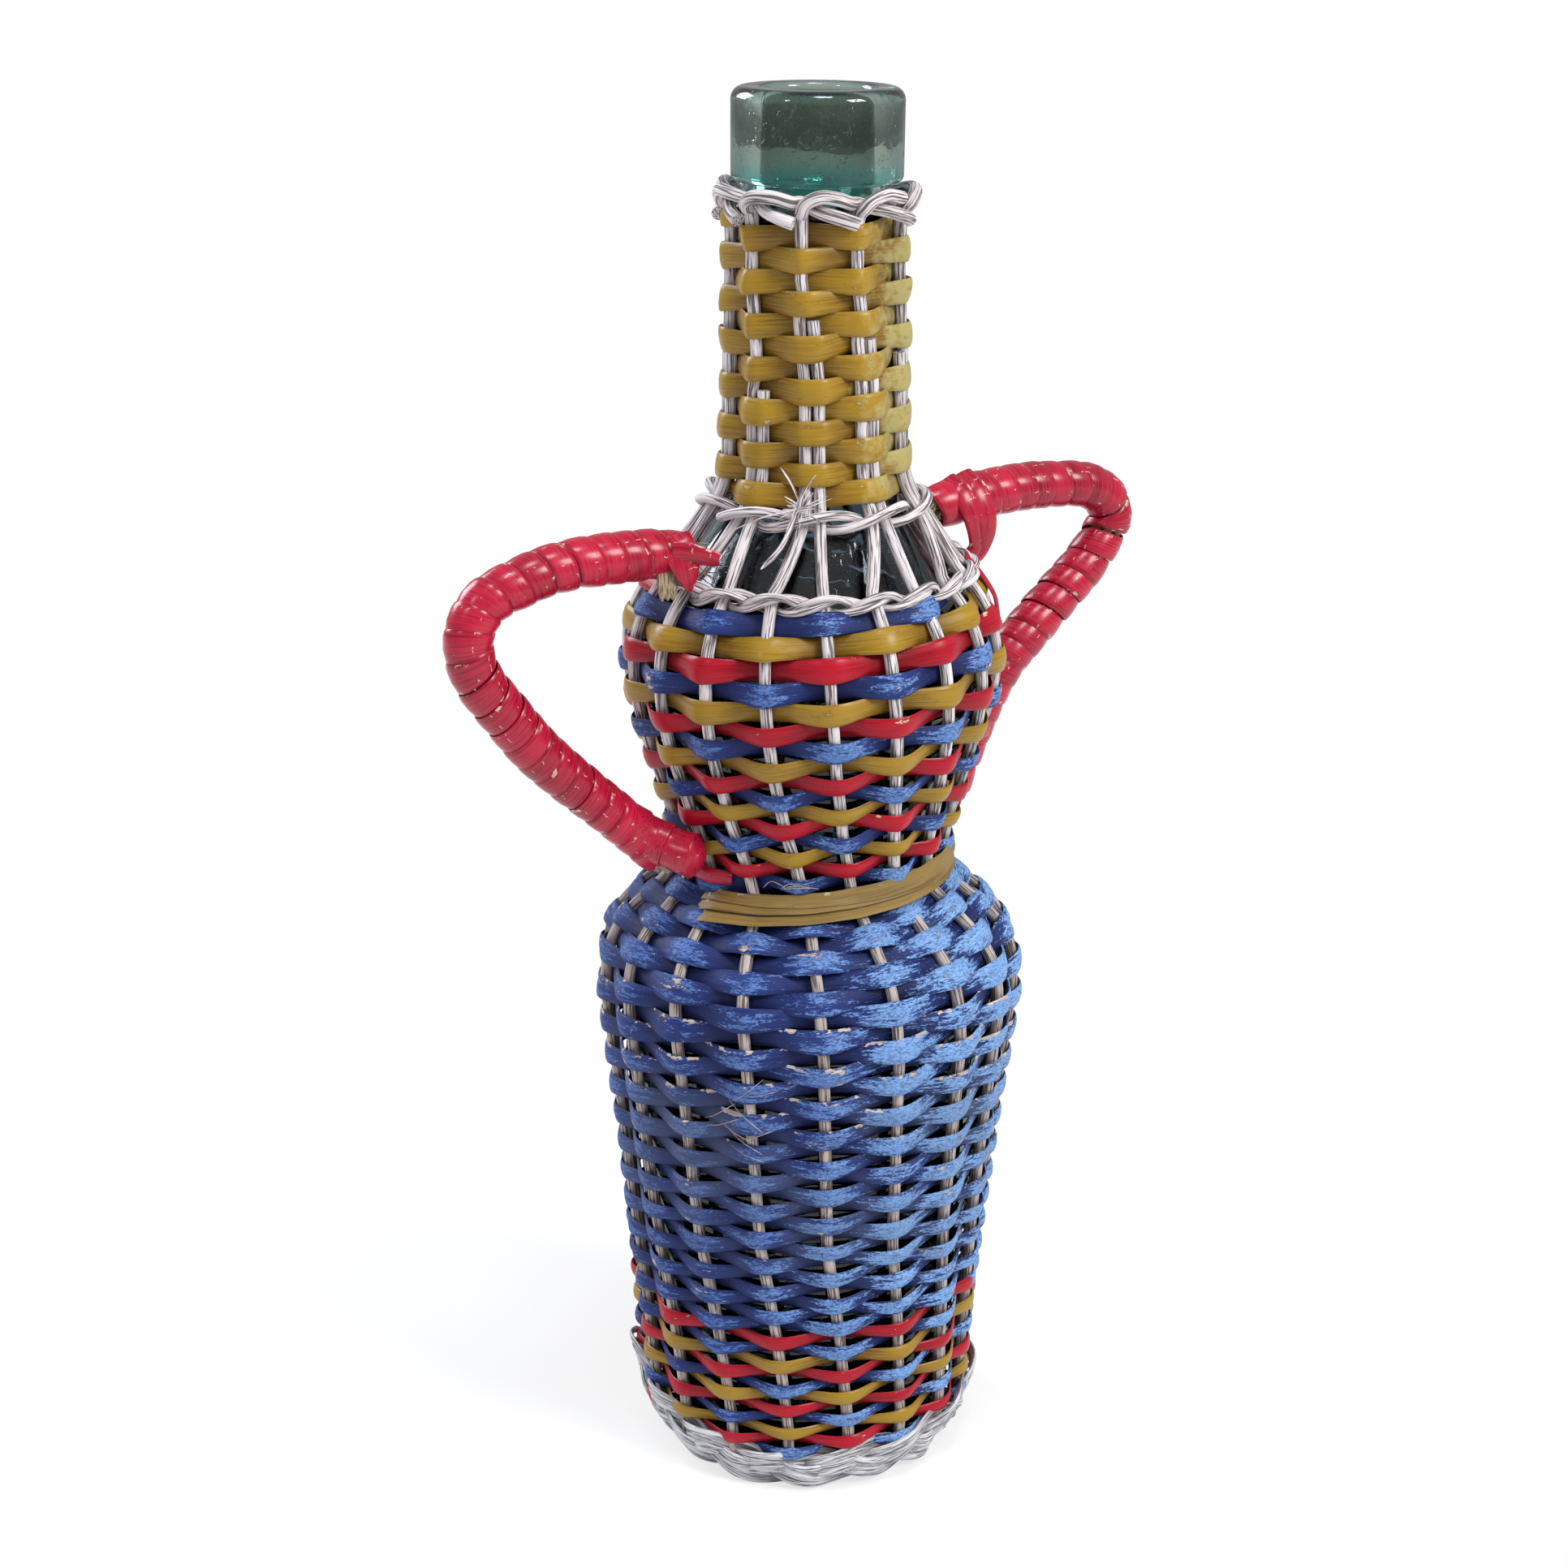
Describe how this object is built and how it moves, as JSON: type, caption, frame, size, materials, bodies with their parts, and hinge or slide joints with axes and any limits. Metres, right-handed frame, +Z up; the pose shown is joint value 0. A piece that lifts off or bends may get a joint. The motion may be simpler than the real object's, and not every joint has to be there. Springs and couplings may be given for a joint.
{
  "type": "wicker-covered demijohn",
  "caption": "Slender glass demijohn in a painted wicker coat with a pinched waist, scalloped neck border and two wrapped cane handles.",
  "frame": {"origin": "centre of the foot's bottom face, on the surface that the demijohn stands on", "axes": "+Z up along the bottle's axis; +X towards the right-hand handle, so both handles lie in the XZ plane; +Y completes the right-handed frame"},
  "size_m": [0.213, 0.1165, 0.3696],
  "materials": {
    "glass": "clear green-teal, hand-made, smooth with seeds and dust",
    "bare_cane": "unpainted grey-white cane, long dark grain, matt",
    "whitened_cane": "whitish grey plaited cane, worn and dusty, matt",
    "ochre_cane": "flat cane, ochre paint, satin, streaked along the grain",
    "red_cane": "flat cane, red paint, satin, crackled with cream showing",
    "blue_cane": "flat cane, blue paint, satin, faded on the crests",
    "core_cane": "raw cane bundle, fibrous at its cut ends, matt",
    "base_cane": "raw woven cane base, matt"
  },
  "bodies": {
    "root": {"glass_bottle": "glass", "foot_braid": "whitened_cane", "base_mat": "base_cane", "waist_wrap": "ochre_cane", "neck_weaver": "ochre_cane", "shoulder_ring": "bare_cane", "neck_ring": "bare_cane", "skirt_band_ochre": "ochre_cane", "skirt_band_blue": "blue_cane", "skirt_band_red": "red_cane", "bust_weaver_red": "red_cane", "bust_weaver_ochre": "ochre_cane", "bust_weaver_blue": "blue_cane", "handle_core_left": "core_cane", "handle_core_right": "core_cane", "handle_wrap_left": "red_cane", "handle_wrap_right": "red_cane", "skirt_weaver_blue_1": "blue_cane", "skirt_weaver_blue_2": "blue_cane", "skirt_weaver_blue_3": "blue_cane", "stake_01": "bare_cane", "stake_02": "bare_cane", "stake_03": "bare_cane", "stake_04": "bare_cane", "stake_05": "bare_cane", "stake_06": "bare_cane", "stake_07": "bare_cane", "stake_08": "bare_cane", "stake_09": "bare_cane", "stake_10": "bare_cane", "stake_11": "bare_cane", "stake_12": "bare_cane", "stake_13": "bare_cane", "stake_14": "bare_cane", "stake_15": "bare_cane", "stake_16": "bare_cane", "stake_17": "bare_cane", "stake_18": "bare_cane", "stake_19": "bare_cane"}
  },
  "joints": []
}
